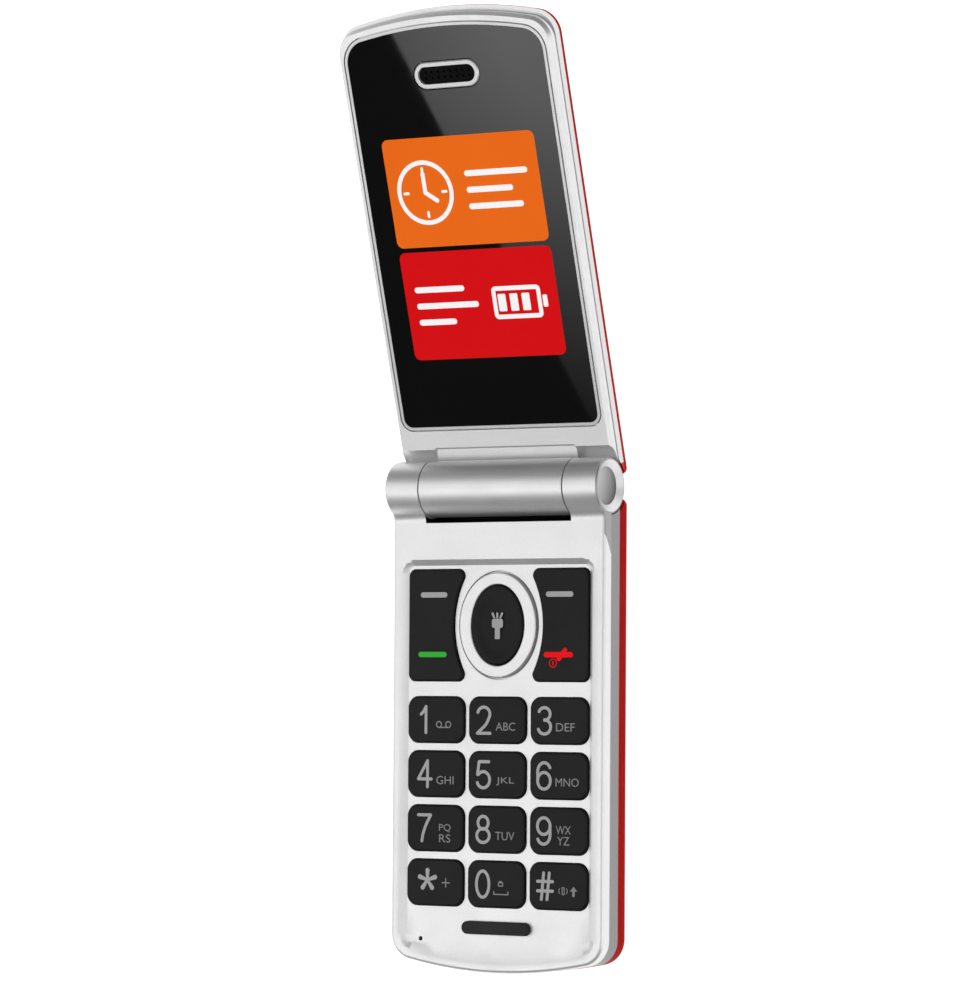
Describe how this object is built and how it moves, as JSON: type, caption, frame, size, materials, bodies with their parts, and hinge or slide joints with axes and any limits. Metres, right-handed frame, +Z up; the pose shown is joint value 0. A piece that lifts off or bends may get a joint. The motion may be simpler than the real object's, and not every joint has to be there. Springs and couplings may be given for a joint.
{
  "type": "flip phone",
  "caption": "Clamshell mobile phone, open on its back, with a keypad half and a screen half on a barrel hinge.",
  "frame": {"origin": "middle of the flat back of the keypad half, on the table, in the phone's plane of symmetry", "axes": "+X across the phone along the hinge, +Y from the keypad towards the screen, +Z up out of the keypad"},
  "size_m": [0.0526, 0.2006, 0.036],
  "materials": {
    "white_shell": "satin white moulded plastic",
    "grey_frame": "satin mid-grey moulded plastic",
    "red_cover": "deep red moulded plastic with a soft gloss",
    "silver_shell": "silver painted plastic, satin",
    "light_band": "pale silver painted plastic",
    "black_key": "black keys with a soft gloss",
    "silicone": "translucent grey silicone mat",
    "spring_steel": "bright steel",
    "circuit_board": "green laminate",
    "tinned_steel": "dull tinned sheet",
    "battery_pack": "dark wrapped cell",
    "gold_contacts": "gold plated spring contacts",
    "black_parts": "black moulded plastic",
    "bumper_rubber": "dark soft rubber",
    "screw_steel": "blackened steel",
    "silver_cap": "satin silver disc",
    "flex_cable": "amber polyimide film",
    "window_glass": "glossy black printed acrylic window",
    "bright_ring": "polished ring",
    "display_panel": "dark display panel",
    "clear_lens": "frosted clear lens"
  },
  "bodies": {
    "base": {"front_cover": "white_shell", "mid_frame": "grey_frame", "keypad_mat": "silicone", "dome_sheet": "spring_steel", "main_board": "circuit_board", "shield_cans": "tinned_steel", "battery": "battery_pack", "battery_contacts": "gold_contacts", "sim_holder": "spring_steel", "usb_socket": "tinned_steel", "loudspeaker": "black_parts", "microphone": "black_parts", "vibration_motor": "tinned_steel", "antenna": "black_parts", "closing_bumper": "bumper_rubber", "case_screws": "screw_steel", "end_cap_left": "silver_cap", "end_cap_right": "silver_cap", "hinge_shaft": "spring_steel", "pivot_tube": "spring_steel"},
    "lid": {"lid_front_frame": "silver_shell", "lid_mid_frame": "light_band", "lid_back_cover": "red_cover", "display_window": "window_glass", "window_trim": "silver_shell", "earpiece_ring": "bright_ring", "earpiece_mesh": "black_parts", "display_module": "display_panel", "receiver": "black_parts", "lid_board": "circuit_board", "camera_module": "black_parts", "camera_window": "window_glass", "torch_lens": "clear_lens", "lid_magnet": "spring_steel", "lid_screws": "screw_steel", "hinge_case": "spring_steel", "hinge_follower": "spring_steel", "hinge_spring": "spring_steel", "hinge_flex": "flex_cable"},
    "battery_cover": {"battery_cover": "red_cover"},
    "key_0": {"key_0": "black_key"},
    "key_1": {"key_1": "black_key"},
    "key_2": {"key_2": "black_key"},
    "key_3": {"key_3": "black_key"},
    "key_4": {"key_4": "black_key"},
    "key_5": {"key_5": "black_key"},
    "key_6": {"key_6": "black_key"},
    "key_7": {"key_7": "black_key"},
    "key_8": {"key_8": "black_key"},
    "key_9": {"key_9": "black_key"},
    "key_hash": {"key_hash": "black_key"},
    "key_star": {"key_star": "black_key"},
    "ok_key": {"ok_key": "black_key"},
    "nav_plate": {"nav_plate": "black_parts"},
    "nav_ring": {"nav_ring": "white_shell"},
    "function_key_left": {"function_key_left": "black_key"},
    "function_key_right": {"function_key_right": "black_key"},
    "volume_rocker": {"volume_rocker": "grey_frame"}
  },
  "joints": [
    {"name": "lid_hinge", "type": "hinge", "parent": "base", "child": "lid", "pos_m": [0, 0.052, 0.0085], "axis": [1, 0, 0], "range_deg": [0, 162.5]},
    {"name": "battery_cover_slide", "type": "slide", "parent": "base", "child": "battery_cover", "axis": [0, 0, -1], "range_m": [0, 0.01]},
    {"name": "key_0_press", "type": "slide", "parent": "base", "child": "key_0", "axis": [0, 0, -1], "range_m": [0, 0.0003], "stiffness_N_per_m": 2000},
    {"name": "key_1_press", "type": "slide", "parent": "base", "child": "key_1", "axis": [0, 0, -1], "range_m": [0, 0.0003], "stiffness_N_per_m": 2000},
    {"name": "key_2_press", "type": "slide", "parent": "base", "child": "key_2", "axis": [0, 0, -1], "range_m": [0, 0.0003], "stiffness_N_per_m": 2000},
    {"name": "key_3_press", "type": "slide", "parent": "base", "child": "key_3", "axis": [0, 0, -1], "range_m": [0, 0.0003], "stiffness_N_per_m": 2000},
    {"name": "key_4_press", "type": "slide", "parent": "base", "child": "key_4", "axis": [0, 0, -1], "range_m": [0, 0.0003], "stiffness_N_per_m": 2000},
    {"name": "key_5_press", "type": "slide", "parent": "base", "child": "key_5", "axis": [0, 0, -1], "range_m": [0, 0.0003], "stiffness_N_per_m": 2000},
    {"name": "key_6_press", "type": "slide", "parent": "base", "child": "key_6", "axis": [0, 0, -1], "range_m": [0, 0.0003], "stiffness_N_per_m": 2000},
    {"name": "key_7_press", "type": "slide", "parent": "base", "child": "key_7", "axis": [0, 0, -1], "range_m": [0, 0.0003], "stiffness_N_per_m": 2000},
    {"name": "key_8_press", "type": "slide", "parent": "base", "child": "key_8", "axis": [0, 0, -1], "range_m": [0, 0.0003], "stiffness_N_per_m": 2000},
    {"name": "key_9_press", "type": "slide", "parent": "base", "child": "key_9", "axis": [0, 0, -1], "range_m": [0, 0.0003], "stiffness_N_per_m": 2000},
    {"name": "key_hash_press", "type": "slide", "parent": "base", "child": "key_hash", "axis": [0, 0, -1], "range_m": [0, 0.0003], "stiffness_N_per_m": 2000},
    {"name": "key_star_press", "type": "slide", "parent": "base", "child": "key_star", "axis": [0, 0, -1], "range_m": [0, 0.0003], "stiffness_N_per_m": 2000},
    {"name": "ok_key_press", "type": "slide", "parent": "base", "child": "ok_key", "axis": [0, 0, -1], "range_m": [0, 0.0002], "stiffness_N_per_m": 2000},
    {"name": "nav_tip_up_down", "type": "hinge", "parent": "base", "child": "nav_plate", "pos_m": [0, 0.02312, 0.0087], "axis": [1, 0, 0], "range_deg": [-0.8, 0.8], "stiffness_Nm_per_rad": 0.2},
    {"name": "nav_tip_left_right", "type": "hinge", "parent": "nav_plate", "child": "nav_ring", "pos_m": [0, 0.02312, 0.0087], "axis": [0, 1, 0], "range_deg": [-0.8, 0.8], "stiffness_Nm_per_rad": 0.2},
    {"name": "function_key_left_tip", "type": "hinge", "parent": "base", "child": "function_key_left", "pos_m": [0, 0.02312, 0.0087], "axis": [1, 0, 0], "range_deg": [-0.9, 0.9], "stiffness_Nm_per_rad": 0.2},
    {"name": "function_key_right_tip", "type": "hinge", "parent": "base", "child": "function_key_right", "pos_m": [0, 0.02312, 0.0087], "axis": [1, 0, 0], "range_deg": [-0.9, 0.9], "stiffness_Nm_per_rad": 0.2},
    {"name": "volume_rocker_tip", "type": "hinge", "parent": "base", "child": "volume_rocker", "pos_m": [-0.0244, -0.006, 0.00645], "axis": [0, 0, 1], "range_deg": [-1, 1], "stiffness_Nm_per_rad": 0.2}
  ]
}
